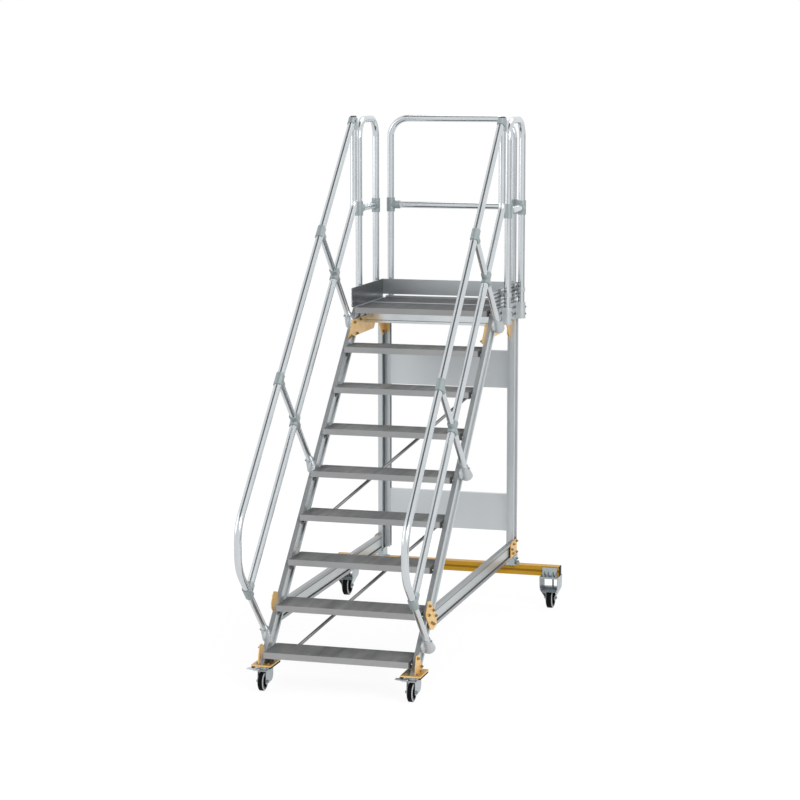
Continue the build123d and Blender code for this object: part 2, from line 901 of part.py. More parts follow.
with BuildPart() as strips:
    for side, sign in SIDES:
        for edge in (-1, 1):
            strip_x = sign * castor_x + edge * (castor_plate_width - strip_width) / 2
            with Locations((strip_x, y_of(plate_middle), plate_under - seat_gap)):
                Box(
                    strip_width,
                    castor_plate_length - strip_width,
                    strip_height,
                    align=(Align.CENTER, Align.CENTER, Align.MAX),
                )
save(strips, "plate_strips")

# Front castor tops: fixed plate, upper race and kingpin, on which the fork turns
top_plate_z = plate_under - seat_gap - castor_top_plate
race_bottom = top_plate_z - race_height
crown_top = race_bottom - race_gap
crown_bottom = 2 * front_wheel_radius + fork_clearance
with BuildPart() as castor_tops:
    for side, sign in SIDES:
        centre = (sign * castor_x, y_of(swivel_from_first_nose))
        with Locations((*centre, top_plate_z)):
            Box(
                castor_plate_width - 2 * strip_width - 4 * seat_gap,
                castor_top_length,
                castor_top_plate,
                align=(Align.CENTER, Align.CENTER, Align.MIN),
            )
        with Locations((*centre, race_bottom)):
            Cone(
                race_radius,
                race_radius + race_flare,
                race_height,
                align=(Align.CENTER, Align.CENTER, Align.MIN),
            )
        rod((*centre, crown_bottom), (*centre, race_bottom + 1), kingpin_radius)
save(castor_tops, "front_castor_tops")

# Brackets under the cross beam's ends, and the fixed forks of the rear castors
bracket_front = beam_y - cross_beam_size / 2 - seat_gap
bracket_under = cross_beam_bottom - seat_gap - bracket_sheet
with BuildPart() as rear_brackets:
    for side, sign in SIDES:
        with Locations((sign * rear_castor_x, bracket_front, bracket_under)):
            Box(
                bracket_width,
                bracket_sheet,
                cross_beam_size,
                align=(Align.CENTER, Align.MAX, Align.MIN),
            )
        with Locations((sign * rear_castor_x, beam_y, bracket_under)):
            Box(
                2 * rear_fork_top_half_width,
                rear_fork_length,
                bracket_sheet,
                align=(Align.CENTER, Align.CENTER, Align.MIN),
            )
save(rear_brackets, "rear_castor_brackets")

fork_top = bracket_under - seat_gap
guard_end_rise = (rear_wheel_radius + wheel_guard_gap) * cos(radians(wheel_guard_angle))
knee_share = guard_end_rise / (rear_fork_knee - rear_wheel_radius)
leg_spread = rear_fork_top_half_width - rear_fork_draft - rear_fork_bottom_half_width
wheel_guard_half = rear_fork_bottom_half_width + knee_share * leg_spread - rear_fork_sheet / 2
with BuildPart() as rear_forks:
    outer = (
        (rear_fork_top_half_width, fork_top),
        (rear_fork_top_half_width - rear_fork_draft, rear_fork_knee),
        (rear_fork_bottom_half_width, rear_wheel_radius),
        (rear_fork_bottom_half_width, 0),
    )
    with BuildSketch(Plane.XZ.offset(-beam_y)):
        with BuildLine():
            right_edge = [(rear_castor_x + x, z) for x, z in outer]
            left_edge = [(rear_castor_x - x, z) for x, z in reversed(outer)]
            Polyline(*right_edge, *left_edge, close=True)
        make_face()
        with BuildLine():
            inner = [(x - rear_fork_sheet, z) for x, z in outer]
            inner[0] = (inner[0][0], fork_top - rear_fork_sheet)
            right_edge = [(rear_castor_x + x, z) for x, z in inner]
            left_edge = [(rear_castor_x - x, z) for x, z in reversed(inner)]
            Polyline(*right_edge, *left_edge, close=True)
        make_face(mode=Mode.SUBTRACT)
    extrude(amount=rear_fork_length, both=True)
    with BuildSketch(Plane.YZ.offset(rear_castor_x)):
        with Locations((beam_y, rear_wheel_radius)):
            Circle(rear_eye_radius)
        with Locations((beam_y, fork_top)):
            Rectangle(
                rear_fork_length, fork_top - rear_fork_side_bottom, align=(Align.CENTER, Align.MAX)
            )
        make_hull()
    extrude(amount=2 * rear_fork_top_half_width, both=True, mode=Mode.INTERSECT)
    # guard over the wheel, bent between the two legs
    with BuildSketch(Plane.YZ.offset(rear_castor_x)):
        with BuildLine():
            guard_arcs = [
                CenterArc(
                    (beam_y, rear_wheel_radius),
                    rear_wheel_radius + wheel_guard_gap + sheet,
                    90 - wheel_guard_angle,
                    2 * wheel_guard_angle,
                )
                for sheet in (0, rear_fork_sheet)
            ]
            for end in (0, 1):
                Line(guard_arcs[0] @ end, guard_arcs[1] @ end)
        make_face()
    extrude(amount=wheel_guard_half, both=True)
    axle_half = rear_fork_bottom_half_width + 2 * rear_fork_sheet
    rod(
        (rear_castor_x - axle_half, beam_y, rear_wheel_radius),
        (rear_castor_x + axle_half, beam_y, rear_wheel_radius),
        axle_radius,
    )
    mirror(about=Plane.YZ)
save(rear_forks, "rear_castor_forks")

# Front forks: pressed crown and two legs that trail ahead of the kingpin, with a brake pedal
swivel_y = y_of(swivel_from_first_nose)
front_axle_y = swivel_y - front_trail
leg_inside = front_tyre_width / 2 + fork_clearance
for side, sign in SIDES:
    x = sign * castor_x
    with BuildPart() as fork:
        for leg_side in (-1, 1):
            with BuildSketch(Plane.YZ.offset(x + leg_side * leg_inside)):
                with Locations((front_axle_y, front_wheel_radius)):
                    Circle(leg_eye_radius)
                with Locations((swivel_y + leg_bulge_back, leg_bulge_height)):
                    Circle(leg_bulge_radius)
                with Locations((swivel_y, crown_bottom + fork_sheet)):
                    Rectangle(fork_head_length, leg_head_height, align=(Align.CENTER, Align.MAX))
                make_hull()
            extrude(amount=leg_side * fork_sheet)
        with Locations((x, swivel_y, crown_bottom)):
            Box(
                2 * (leg_inside + fork_sheet),
                fork_head_length,
                fork_sheet,
                align=(Align.CENTER, Align.CENTER, Align.MIN),
            )
        with Locations((x, swivel_y, crown_bottom)):
            Cone(
                race_radius + race_flare,
                race_radius,
                crown_top - crown_bottom,
                align=(Align.CENTER, Align.CENTER, Align.MIN),
            )
        axle_half = leg_inside + 3 * fork_sheet
        rod(
            (x - axle_half, front_axle_y, front_wheel_radius),
            (x + axle_half, front_axle_y, front_wheel_radius),
            axle_radius,
        )
        with BuildSketch(Plane.XZ.offset(-swivel_y)):
            with BuildLine():
                Polyline(
                    (x - leg_inside, crown_bottom),
                    (x - pedal_reach + pedal_tip, crown_bottom),
                    (x - pedal_reach, crown_bottom + pedal_rise),
                    (x - pedal_reach, crown_bottom + pedal_rise + fork_sheet),
                    (x - pedal_reach + pedal_tip, crown_bottom + fork_sheet),
                    (x - leg_inside, crown_bottom + fork_sheet),
                    close=True,
                )
            make_face()
        extrude(amount=pedal_width / 2, both=True)
        rod(
            (x, swivel_y, crown_bottom - fork_sheet),
            (x, swivel_y, crown_top + fork_sheet),
            kingpin_radius + axle_gap,
            Mode.SUBTRACT,
        )
    save(fork, f"front_castor_fork_{side}")


def ring(centre, profile):
    """Solid of revolution about a wheel's axle; profile is (across, radius) pairs."""
    upright = Plane(origin=centre, x_dir=(1, 0, 0), z_dir=(0, -1, 0))
    with BuildSketch(upright) as section:
        with BuildLine():
            Polyline(*profile, close=True)
        make_face()
    revolve(section.sketch, axis=Axis(centre, (1, 0, 0)))


# Wheels: plastic hub with a web and boss, and a rubber tyre round it
wheels = (
    # name, distance from the middle, ground-plan y, radius, tyre width, inside of the fork
    ("front", castor_x, front_axle_y, front_wheel_radius, front_tyre_width, leg_inside),
    (
        "rear",
        rear_castor_x,
        beam_y,
        rear_wheel_radius,
        rear_tyre_width,
        rear_fork_bottom_half_width - rear_fork_sheet,
    ),
)
for end, distance, wheel_y, radius, width, fork_inside in wheels:
    rim = radius - tyre_depth
    half = width / 2
    tread_half = half - rim_flange
    for side, sign in SIDES:
        centre = (sign * distance, wheel_y, radius)
        with BuildPart() as tyre:
            ring(
                centre,
                (
                    (-tread_half, rim + axle_gap),
                    (tread_half, rim + axle_gap),
                    (tread_half, radius - tyre_shoulder),
                    (tread_half - tyre_shoulder, radius),
                    (tyre_shoulder - tread_half, radius),
                    (-tread_half, radius - tyre_shoulder),
                ),
            )
        save(tyre, f"tyre_{end}_{side}")

        boss_half = fork_inside - boss_gap
        bore = axle_radius + axle_gap
        bands = (
            # half-width, inner radius, outer radius of the boss, the web and the rim
            (boss_half, bore, boss_radius),
            (hub_web / 2, bore, rim),
            (half, rim - rim_wall, rim),
        )
        with BuildPart() as hub:
            for reach, inner, outer in bands:
                ring(centre, ((-reach, inner), (reach, inner), (reach, outer), (-reach, outer)))
            # bevelled flanges that hold the tyre between them
            for edge in (-1, 1):
                flange = (
                    (edge * (tread_half + axle_gap), rim),
                    (edge * half, rim),
                    (edge * half, radius - rim_bevel),
                    (edge * (tread_half + axle_gap), radius - rim_edge_drop),
                )
                ring(centre, flange if edge > 0 else flange[::-1])
        save(hub, f"hub_{end}_{side}")
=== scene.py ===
from math import cos, radians, sin, tau

import bpy
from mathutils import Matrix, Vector


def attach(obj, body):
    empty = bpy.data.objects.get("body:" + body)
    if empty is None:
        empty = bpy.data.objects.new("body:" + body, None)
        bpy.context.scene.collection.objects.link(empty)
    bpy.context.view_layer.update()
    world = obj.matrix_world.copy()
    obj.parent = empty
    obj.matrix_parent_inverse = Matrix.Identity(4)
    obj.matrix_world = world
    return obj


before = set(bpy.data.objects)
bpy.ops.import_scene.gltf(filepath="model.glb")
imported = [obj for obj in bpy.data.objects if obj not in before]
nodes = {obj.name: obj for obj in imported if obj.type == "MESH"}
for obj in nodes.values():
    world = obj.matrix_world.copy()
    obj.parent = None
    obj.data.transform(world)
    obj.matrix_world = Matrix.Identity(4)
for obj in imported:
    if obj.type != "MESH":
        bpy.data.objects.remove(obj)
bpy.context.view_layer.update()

# Camera: a long lens on the climber's right, well back from the flight and a little above the
# platform. It looks slightly down and to the left.
look_down = 8.157
look_left = 15.901
camera_data = bpy.data.cameras.new("camera")
camera_data.sensor_width = 36
camera_data.lens = 105.9
camera_data.clip_end = 100
camera = bpy.data.objects.new("camera", camera_data)
camera.location = (3.592, -12.446, 3.274)
camera.rotation_euler = (radians(90 - look_down), 0, radians(look_left))
bpy.context.scene.collection.objects.link(camera)
bpy.context.scene.camera = camera

# Studio: a white room with soft lamps. Metal also mirrors two dark screens in it, one hung
# overhead and one standing on the right, which draw the dark lines along bright tubes.
scene = bpy.context.scene
scene.view_settings.view_transform = "Standard"
world = bpy.data.worlds.new("studio")
world.use_nodes = True
scene.world = world


class Wire:
    """An output in a node tree. Arithmetic on wires adds the Math nodes that work it out."""

    def __init__(self, tree, socket=None):
        self.tree = tree
        self.socket = socket

    def add(self, kind, settings=None, inputs=None, output=0):
        """New node: its settings first, then its sockets' values or links; gives one output."""
        node = self.tree.nodes.new(kind)
        for name, value in (settings or {}).items():
            setattr(node, name, value)
        for name, value in (inputs or {}).items():
            if isinstance(value, Wire):
                self.tree.links.new(value.socket, node.inputs[name])
            else:
                node.inputs[name].default_value = value
        return Wire(self.tree, node.outputs[output])

    def math(self, operation, *terms):
        """A Math node on the terms, or on this wire where none is given."""
        terms = terms or (self,)
        return self.add("ShaderNodeMath", {"operation": operation}, dict(enumerate(terms)))

    def parts(self):
        """The three numbers of a vector, each as a wire."""
        node = self.tree.nodes.new("ShaderNodeSeparateXYZ")
        self.tree.links.new(self.socket, node.inputs[0])
        return [Wire(self.tree, socket) for socket in node.outputs]

    def __add__(self, other):
        return self.math("ADD", self, other)

    def __radd__(self, other):
        return self.math("ADD", other, self)

    def __sub__(self, other):
        return self.math("SUBTRACT", self, other)

    def __rsub__(self, other):
        return self.math("SUBTRACT", other, self)

    def __mul__(self, other):
        return self.math("MULTIPLY", self, other)

    def __rmul__(self, other):
        return self.math("MULTIPLY", other, self)

    def clamp(self, low=0.0, high=1.0):
        return self.math("MINIMUM", self.math("MAXIMUM", self, low), high)

    def near(self, place, reach, softness):
        """1 where the number is within reach of a place, falling to 0 over the softness."""
        away = self.math("ABSOLUTE", self - place)
        return ((reach + softness - away) * (1 / softness)).clamp()


def screen_share(direction, spans):
    """1 in the directions that a screen fills; each span is a middle, a reach and a softness."""
    across, back, up = (axis.near(*span) for axis, span in zip(direction, spans))
    return across * back * up


def light_world(soft_light, white, screen):
    """World that lights softly, shows white to the camera, and shows the screens to metal."""
    tree = world.node_tree
    tree.nodes.clear()
    wire = Wire(tree)
    direction = wire.add("ShaderNodeTexCoord", output="Generated").parts()
    overhead_spans = ((-0.14, 0.29, 0.08), (-0.15, 0.25, 0.25), (1.0, 0.25, 0.2))
    side_spans = ((0.90, 0.28, 0.08), (0.35, 0.50, 0.15), (-0.10, 0.06, 0.06))
    overhead = screen_share(direction, overhead_spans)
    beside = screen_share(direction, side_spans) * 0.55
    mirrored = white - (overhead + beside).clamp() * (white - screen)
    seen = wire.add("ShaderNodeLightPath", output="Is Camera Ray")
    glossy = wire.add("ShaderNodeLightPath", output="Is Glossy Ray")
    strength = soft_light + seen * (white - soft_light) + glossy * (mirrored - soft_light)
    cool_white = (0.97, 0.985, 1, 1)
    light = wire.add("ShaderNodeBackground", None, {"Color": cool_white, "Strength": strength})
    plain = wire.add("ShaderNodeBackground", None, {"Color": (1, 1, 1, 1), "Strength": 1.0})
    shown = wire.add("ShaderNodeMixShader", None, {0: seen, 1: light, 2: plain})
    output = tree.nodes.new("ShaderNodeOutputWorld")
    tree.links.new(shown.socket, output.inputs["Surface"])


light_world(soft_light=0.55, white=1.0, screen=0.06)


def studio_lamp(name, place, size, power, target=(0, 0, 1.2)):
    """Square soft lamp that is turned to the middle of the machine."""
    lamp = bpy.data.lights.new(name, "AREA")
    lamp.energy = power
    lamp.size = size
    holder = bpy.data.objects.new(name, lamp)
    holder.location = place
    holder.rotation_euler = (Vector(target) - Vector(place)).to_track_quat("-Z", "Y").to_euler()
    scene.collection.objects.link(holder)


studio_lamp("key_lamp", (5.5, -4.5, 5.5), size=3.5, power=330)
studio_lamp("fill_lamp", (-6.0, -3.0, 4.0), size=4.5, power=90)
studio_lamp("top_lamp", (0.5, 3.0, 7.5), size=4.0, power=120)

# Floor: one plain white plane under the machine. The room is as white as it is, so that it shows
# only a faint shadow close to the wheels.
shadow_reach = 1.6
shadow_fade = 1.2
bpy.ops.object.select_all(action="DESELECT")
bpy.ops.mesh.primitive_plane_add(size=9, location=(0, 0, 0))
floor = bpy.context.active_object
floor.name = "floor"


def floor_finish():
    """White to the camera and in reflections, with a faint shadow close to the machine."""
    material = bpy.data.materials.new("floor_white")
    material.use_nodes = True
    tree = material.node_tree
    tree.nodes.clear()
    wire = Wire(tree)
    across, back, _ = wire.add("ShaderNodeTexCoord", output="Object").parts()
    distance = (across * across + back * back).math("SQRT")
    close = 1 - ((distance - shadow_reach) * (1 / shadow_fade)).clamp()
    paint = wire.add("ShaderNodeBsdfDiffuse", None, {"Color": (0.8, 0.8, 0.8, 1)})
    glow = wire.add("ShaderNodeEmission", None, {"Color": (1, 1, 1, 1), "Strength": 1.05})
    seen = wire.add("ShaderNodeLightPath", output="Is Camera Ray")
    glossy = wire.add("ShaderNodeLightPath", output="Is Glossy Ray")
    white = (seen * (1 - close * 0.12) + glossy * 0.7).clamp()
    mixed = wire.add("ShaderNodeMixShader", None, {0: white, 1: paint, 2: glow})
    output = tree.nodes.new("ShaderNodeOutputMaterial")
    tree.links.new(mixed.socket, output.inputs["Surface"])
    return material


floor.data.materials.append(floor_finish())


# Bars: stringers, rear posts, bottom rails, side and rear beams and inner channels, of extruded
# aluminium. The mill leaves fine lines along each bar. Painted shade darkens the corners of
# their recesses, their grooves and the rails' flanges, and the stringers' front faces, most of
# all low down.
class Finish:
    """A material in the making: its place on the object, and its shader."""

    def __init__(self, name):
        self.material = bpy.data.materials.new(name)
        self.material.use_nodes = True
        self.tree = self.material.node_tree
        self.shader = self.tree.nodes["Principled BSDF"]
        self.wire = Wire(self.tree)
        self.place = self.wire.add("ShaderNodeTexCoord", output="Object")

    def facing(self, direction):
        """How far the surface faces a direction, from -1 to 1."""
        normal = self.wire.add("ShaderNodeNewGeometry", output="Normal")
        inputs = {0: normal, 1: direction}
        return self.wire.add("ShaderNodeVectorMath", {"operation": "DOT_PRODUCT"}, inputs, "Value")

    def turned(self, turn, scale):
        """The place on the object, turned and stretched."""
        inputs = {"Vector": self.place, "Rotation": turn, "Scale": scale}
        return self.wire.add("ShaderNodeMapping", None, inputs)

    def noise(self, scale, detail=2.0, roughness=0.5, place=None):
        place = place or self.place
        inputs = {"Vector": place, "Scale": scale, "Detail": detail, "Roughness": roughness}
        return self.wire.add("ShaderNodeTexNoise", None, inputs)

    def blend(self, share, first, second):
        """Colour between two colours."""
        inputs = {0: share}
        for socket, colour in ((6, first), (7, second)):
            inputs[socket] = colour if isinstance(colour, Wire) else (*colour, 1)
        return self.wire.add("ShaderNodeMix", {"data_type": "RGBA"}, inputs, 2)

    def bump(self, height, strength, distance):
        inputs = {"Height": height, "Strength": strength, "Distance": distance}
        return self.wire.add("ShaderNodeBump", None, inputs)

    def done(self, **sockets):
        """Sets the shader's sockets, with underscores for the spaces in their names."""
        for name, value in sockets.items():
            socket = self.shader.inputs[name.replace("_", " ")]
            if isinstance(value, Wire):
                self.tree.links.new(value.socket, socket)
            else:
                socket.default_value = value
        return self.material


# Turns that lay the mill's lines along a bar, and how far the lines are drawn out
upright_grain = (0, 0, 0)
level_grain = (radians(90), 0, 0)
crosswise_grain = (0, radians(90), 0)
sloping_grain = (radians(45), 0, 0)
mill_lines = (420, 420, 3)
# Colour of the painted shade on the bars
painted_shade_colour = (0.045, 0.048, 0.05)


def drawn_aluminium(name, light, dark, grain, metallic=0.8, roughness=0.34, shade=None):
    """Satin aluminium with fine lines along its grain; shade gives where it is darkened."""
    finish = Finish(name)
    lines = finish.noise(1.0, 3.0, 0.6, finish.turned(grain, mill_lines))
    clouds = finish.noise(4.0, 4.0, 0.55)
    scuffs = finish.noise(38.0, 5.0, 0.7)
    tone = (clouds * 0.6 + lines * 0.25 + 0.08).clamp()
    wear_and_shade = ((scuffs - 0.62) * 4.0).clamp()
    colour = finish.blend(tone, dark, light)
    # Painted shade, where the shade function puts it
    if shade:
        colour = finish.blend(shade(finish), colour, painted_shade_colour)
    return finish.done(
        Base_Color=colour,
        Metallic=metallic,
        Roughness=(roughness + (lines - 0.5) * 0.16 + wear_and_shade * 0.12).clamp(),
        Normal=finish.bump(lines, 0.12, 0.0006),
    )


# The flight's slope, rise and first nose, and where the bars' middles and painted shade lines lie
flight_slope = radians(45)
rise = 0.207
first_nose = -1.0518
stringer_middle = -0.090
post_middle = 1.2182
rail_middle = 0.360
recess_corner = 0.0290
flange_line = 0.0425
groove_heights = (1.8329, 1.7925)
groove_half = 0.006


def painted_corner_shade(finish, across, middle):
    """Painted shade lines on a bar's broad faces: in the recess's corners, and fine ones on the
    flanges.
    """
    sideways = (finish.facing((1, 0, 0)).math("ABSOLUTE") * 4 - 2).clamp()
    edges = (across - middle).math("ABSOLUTE")
    corner_shade_lines = edges.near(recess_corner, 0.0012, 0.0014) * 0.45
    flange_shade_lines = edges.near(flange_line, 0.0004, 0.0014) * 0.3
    return sideways * (corner_shade_lines + flange_shade_lines)


def height_off_flight(finish):
    """How far a point lies above the line of the noses, square to it."""
    _, back, up = finish.place.parts()
    return (up - rise) * cos(flight_slope) - (back - first_nose) * sin(flight_slope)


def stringer_shade(finish):
    height = height_off_flight(finish)
    # Painted shade on the front faces, stronger low down
    front = (finish.facing((0, -sin(flight_slope), cos(flight_slope))) * 3 - 2).clamp()
    front = front * ((height + 0.060) * 200).clamp()
    low_down = (1.25 - finish.place.parts()[2] * 0.55).clamp(0.3, 1.0)
    corners = painted_corner_shade(finish, height, stringer_middle)
    return (corners + front * low_down * 0.20).clamp()


def post_shade(finish):
    # Painted shade lines in the post's recess corners and on its flanges
    return painted_corner_shade(finish, finish.place.parts()[1], post_middle).clamp()


def rail_bar_shade(finish):
    up = finish.place.parts()[2]
    # Painted shade on the flanges, under the upper lip and on the lower ledge
    flanges = 1 - up.near(rail_middle, 0.032, 0.001)
    under_lip = up.near(rail_middle + 0.0265, 0.0055, 0.001)
    on_ledge = up.near(rail_middle - 0.0305, 0.0026, 0.001)
    return ((under_lip + on_ledge) * 0.92 + flanges * 0.40).clamp()


def side_beam_shade(finish):
    up = finish.place.parts()[2]
    # Painted shade in the two grooves along the outside
    upper, lower = (up.near(height, groove_half, 0.002) for height in groove_heights)
    return (upper * 0.55 + lower * 0.55).clamp()


def paint_nodes(material, *names):
    for name in names:
        node = nodes[name]
        node.data.materials.clear()
        node.data.materials.append(material)


bar_light = (0.63, 0.66, 0.67)
bar_dark = (0.49, 0.515, 0.525)
stringer_bar = drawn_aluminium(
    "stringer_aluminium", bar_light, bar_dark, sloping_grain, 0.65, 0.30, stringer_shade
)
post_bar = drawn_aluminium("post_aluminium", bar_light, bar_dark, upright_grain, shade=post_shade)
rail_bar = drawn_aluminium(
    "rail_bar_aluminium", bar_light, bar_dark, level_grain, shade=rail_bar_shade
)
beam_bar = drawn_aluminium(
    "side_beam_aluminium", bar_light, bar_dark, level_grain, shade=side_beam_shade
)
cross_bar = drawn_aluminium("cross_bar_aluminium", bar_light, bar_dark, crosswise_grain)
inner_bar = drawn_aluminium("inner_channel_aluminium", bar_light, bar_dark, upright_grain)
paint_nodes(stringer_bar, "stringer_left", "stringer_right")
paint_nodes(post_bar, "rear_post_left", "rear_post_right")
paint_nodes(rail_bar, "bottom_rail_left", "bottom_rail_right")
paint_nodes(beam_bar, "side_beam_left", "side_beam_right")
paint_nodes(inner_bar, "inner_rear_channels")
paint_nodes(cross_bar, "rear_beam")


# Front beam and middle bearer under the deck: bright extrusions with a painted shade line above the
# lip, clean enough to mirror the gold plates beside them.
lip_line = 1.7695
bearer_light = (0.74, 0.765, 0.775)
bearer_dark = (0.64, 0.665, 0.675)


def bearer_shade(finish):
    # Painted shade line above the lip
    return finish.place.parts()[2].near(lip_line, 0.001, 0.002) * 0.6


bearer_bar = drawn_aluminium(
    "bearer_aluminium", bearer_light, bearer_dark, crosswise_grain, 0.92, 0.2, bearer_shade
)
paint_nodes(bearer_bar, "deck_bearers")


# Cross panels: flat aluminium sheet that stiffens the rear frame, rolled crosswise, a little
# clouded, and held in the inner channels. The upper one has painted shade towards the right.
panel_light = (0.67, 0.70, 0.715)
panel_dark = (0.57, 0.60, 0.615)


def panel_shade(finish):
    across, _, up = finish.place.parts()
    # Painted shade on the upper panel, growing towards the right
    return (up - 1.2).clamp() * 0.3 * ((across + 0.25) * 3).clamp()


panel_sheet = drawn_aluminium(
    "panel_aluminium", panel_light, panel_dark, crosswise_grain, 0.7, 0.32, panel_shade
)
paint_nodes(panel_sheet, "rear_panels")


# Treads and deck planks: ribbed hollow extrusions of aluminium, set between the stringers. Painted
# shade of the ribs darkens their tops, which are streaked with painted reflections; more painted
# shade lies at the ends, in a line near each end and on the cut of the right end, and the plain
# nose face stays brighter.
# Places and colour of the treads' painted shade
end_shade_starts = 0.30
shade_line_away = 0.372
right_wall = 0.389
tread_shade_colour = (0.02, 0.02, 0.02)


def ribbed_aluminium(name, metal_tones, shaded_top_tones):
    """Ribbed aluminium: one pair of tones for its metal, one for its top in painted shade."""
    finish = Finish(name)
    lines = finish.noise(1.0, 3.0, 0.6, finish.turned(crosswise_grain, (380, 380, 3)))
    clouds = finish.noise(6.0, 4.0, 0.6)
    streaks = finish.noise(1.0, 3.0, 0.5, finish.turned(upright_grain, (26, 2, 2)))
    across = finish.place.parts()[0]
    away = across.math("ABSOLUTE")
    # Faces turned up take the top tones, the painted shade of the ribs
    shaded_top = ((finish.facing((0, 0, 1)) - 0.5) * 4.0).clamp()
    # Painted shade at the ends and in a line near each end
    ends = ((away - end_shade_starts) * 8.0).clamp() * 0.45
    end_shade_lines = away.near(shade_line_away, 0.0012, 0.0012) * 0.7
    metal = finish.blend((clouds * 0.6 + lines * 0.25).clamp(), *metal_tones)
    # Streaks of painted reflection, with random clouds
    patches = (streaks - 0.5) * 1.8 + (clouds - 0.5) * 1.0 + 0.5
    tread = finish.blend((patches - ends).clamp(), *shaded_top_tones)
    wear_and_shade = finish.blend(end_shade_lines * shaded_top, finish.blend(shaded_top, metal, tread), tread_shade_colour)
    # Painted shade on the cut of the right end
    right_end = ((across - right_wall) * 250).clamp() * 0.85
    return finish.done(
        Base_Color=finish.blend(right_end, wear_and_shade, tread_shade_colour),
        Metallic=0.55 - shaded_top * 0.42,
        Roughness=(0.36 + (lines - 0.5) * 0.2 + shaded_top * 0.1).clamp(),
        Specular_IOR_Level=0.12,
        Normal=finish.bump(lines, 0.15, 0.0006),
    )


tread_names = [f"tread_{number}" for number in range(1, 9)]
tread_metal = ((0.32, 0.32, 0.32), (0.45, 0.45, 0.45))
tread_top = ((0.075, 0.075, 0.075), (0.31, 0.31, 0.307))
ribbed = ribbed_aluminium("tread_aluminium", tread_metal, tread_top)
paint_nodes(ribbed, *tread_names)
deck_metal = ((0.30, 0.295, 0.295), (0.41, 0.405, 0.405))
deck_top = ((0.040, 0.043, 0.045), (0.125, 0.133, 0.137))
deck_ribbed = ribbed_aluminium("deck_aluminium", deck_metal, deck_top)
paint_nodes(deck_ribbed, "deck_front", "deck_rear")


# Tread brackets: short angles of aluminium under each tread's ends, dark with painted shade, held
# to the stringers' inner faces by one hex bolt each. Every bolt of the machine is modelled in the
# same way.
inner_face = 0.400
seat_gap = 0.0003
bracket_leg = 0.028
bracket_sheet = 0.003
bracket_long = 0.060
bracket_drop = 0.0334
bracket_behind_nose = 0.058
bracket_screw_drop = 0.016
bracket_screw_radius = 0.0055


def start_box(place, size):
    """Box with its middle at a place; the one object that is selected afterwards."""
    bpy.ops.object.select_all(action="DESELECT")
    bpy.ops.mesh.primitive_cube_add(size=1, location=place)
    piece = bpy.context.active_object
    piece.scale = size
    bpy.ops.object.transform_apply(location=False, rotation=False, scale=True)
    return piece


def pick_faces(piece, wanted):
    """Edit mode with just the faces selected whose middle and normal are wanted."""
    bpy.ops.object.mode_set(mode="EDIT")
    bpy.ops.mesh.select_mode(type="FACE")
    bpy.ops.mesh.select_all(action="DESELECT")
    bpy.ops.object.mode_set(mode="OBJECT")
    for face in piece.data.polygons:
        face.select = wanted(face.center, face.normal)
    bpy.ops.object.mode_set(mode="EDIT")


def round_edges(piece, width, segments=2):
    bevel = piece.modifiers.new("rounded", "BEVEL")
    bevel.width = width
    bevel.segments = segments
    bevel.limit_method = "ANGLE"
    bpy.context.view_layer.objects.active = piece
    bpy.ops.object.modifier_apply(modifier="rounded")


def hex_bolt(radius, shank=0.0):
    """Bolt head with a chamfered crown on a washer, seated at the origin and facing up.

    With a shank it is a nut, with the bolt's end standing out of it.
    """
    washer = radius * 0.22
    height = radius * 0.8
    bpy.ops.object.select_all(action="DESELECT")
    bpy.ops.mesh.primitive_cylinder_add(
        vertices=6, radius=radius, depth=height, location=(0, 0, washer + height / 2)
    )
    bolt = bpy.context.active_object
    bpy.ops.object.transform_apply(location=True, rotation=True, scale=True)
    pick_faces(bolt, lambda middle, normal: normal.z > 0.9)
    bpy.ops.mesh.inset(thickness=radius * 0.16)
    bpy.ops.transform.translate(value=(0, 0, radius * 0.12))
    if shank:
        bpy.ops.mesh.inset(thickness=radius * 0.28)
        bpy.ops.mesh.extrude_region_move(TRANSFORM_OT_translate={"value": (0, 0, shank)})
    bpy.ops.mesh.primitive_cylinder_add(
        vertices=16, radius=radius * 1.25, depth=washer, location=(0, 0, washer / 2)
    )
    bpy.ops.object.mode_set(mode="OBJECT")
    return bolt


def finished(piece, name, material, body):
    """Names a new piece, gives it its material, and fixes it to its body."""
    piece.name = name
    piece.data.name = name
    piece.data.materials.clear()
    piece.data.materials.append(material)
    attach(piece, body)
    return piece


def copies_of(model, name, places, material, body):
    """One piece of copies of a model, each at a place and facing a direction; the model goes."""
    copies = []
    for place, direction in places:
        bpy.ops.object.select_all(action="DESELECT")
        model.select_set(True)
        bpy.context.view_layer.objects.active = model
        bpy.ops.object.duplicate()
        copy = bpy.context.active_object
        copy.rotation_euler = Vector(direction).to_track_quat("Z", "Y").to_euler()
        copy.location = place
        copies.append(copy)
    bpy.ops.object.select_all(action="DESELECT")
    for copy in copies:
        copy.select_set(True)
    bpy.context.view_layer.objects.active = copies[0]
    if len(copies) > 1:
        bpy.ops.object.join()
    bpy.ops.object.transform_apply(location=True, rotation=True, scale=True)
    bpy.data.objects.remove(model)
    return finished(bpy.context.active_object, name, material, body)


def dark_steel(name, light, dark, metallic=0.75, roughness=0.34):
    """Plated steel of bolts, nuts and pressed parts, a little cloudy all over."""
    finish = Finish(name)
    clouds = finish.noise(90.0, 4.0, 0.6)
    return finish.done(
        Base_Color=finish.blend(clouds, dark, light),
        Metallic=metallic,
        Roughness=(roughness + (clouds - 0.5) * 0.25).clamp(),
        Normal=finish.bump(finish.noise(500.0), 0.1, 0.0003),
    )


steel_screws = dark_steel("plated_screws", (0.42, 0.46, 0.48), (0.16, 0.18, 0.19))
bronze_screws = dark_steel("golden_screws", (0.46, 0.34, 0.17), (0.20, 0.135, 0.06))
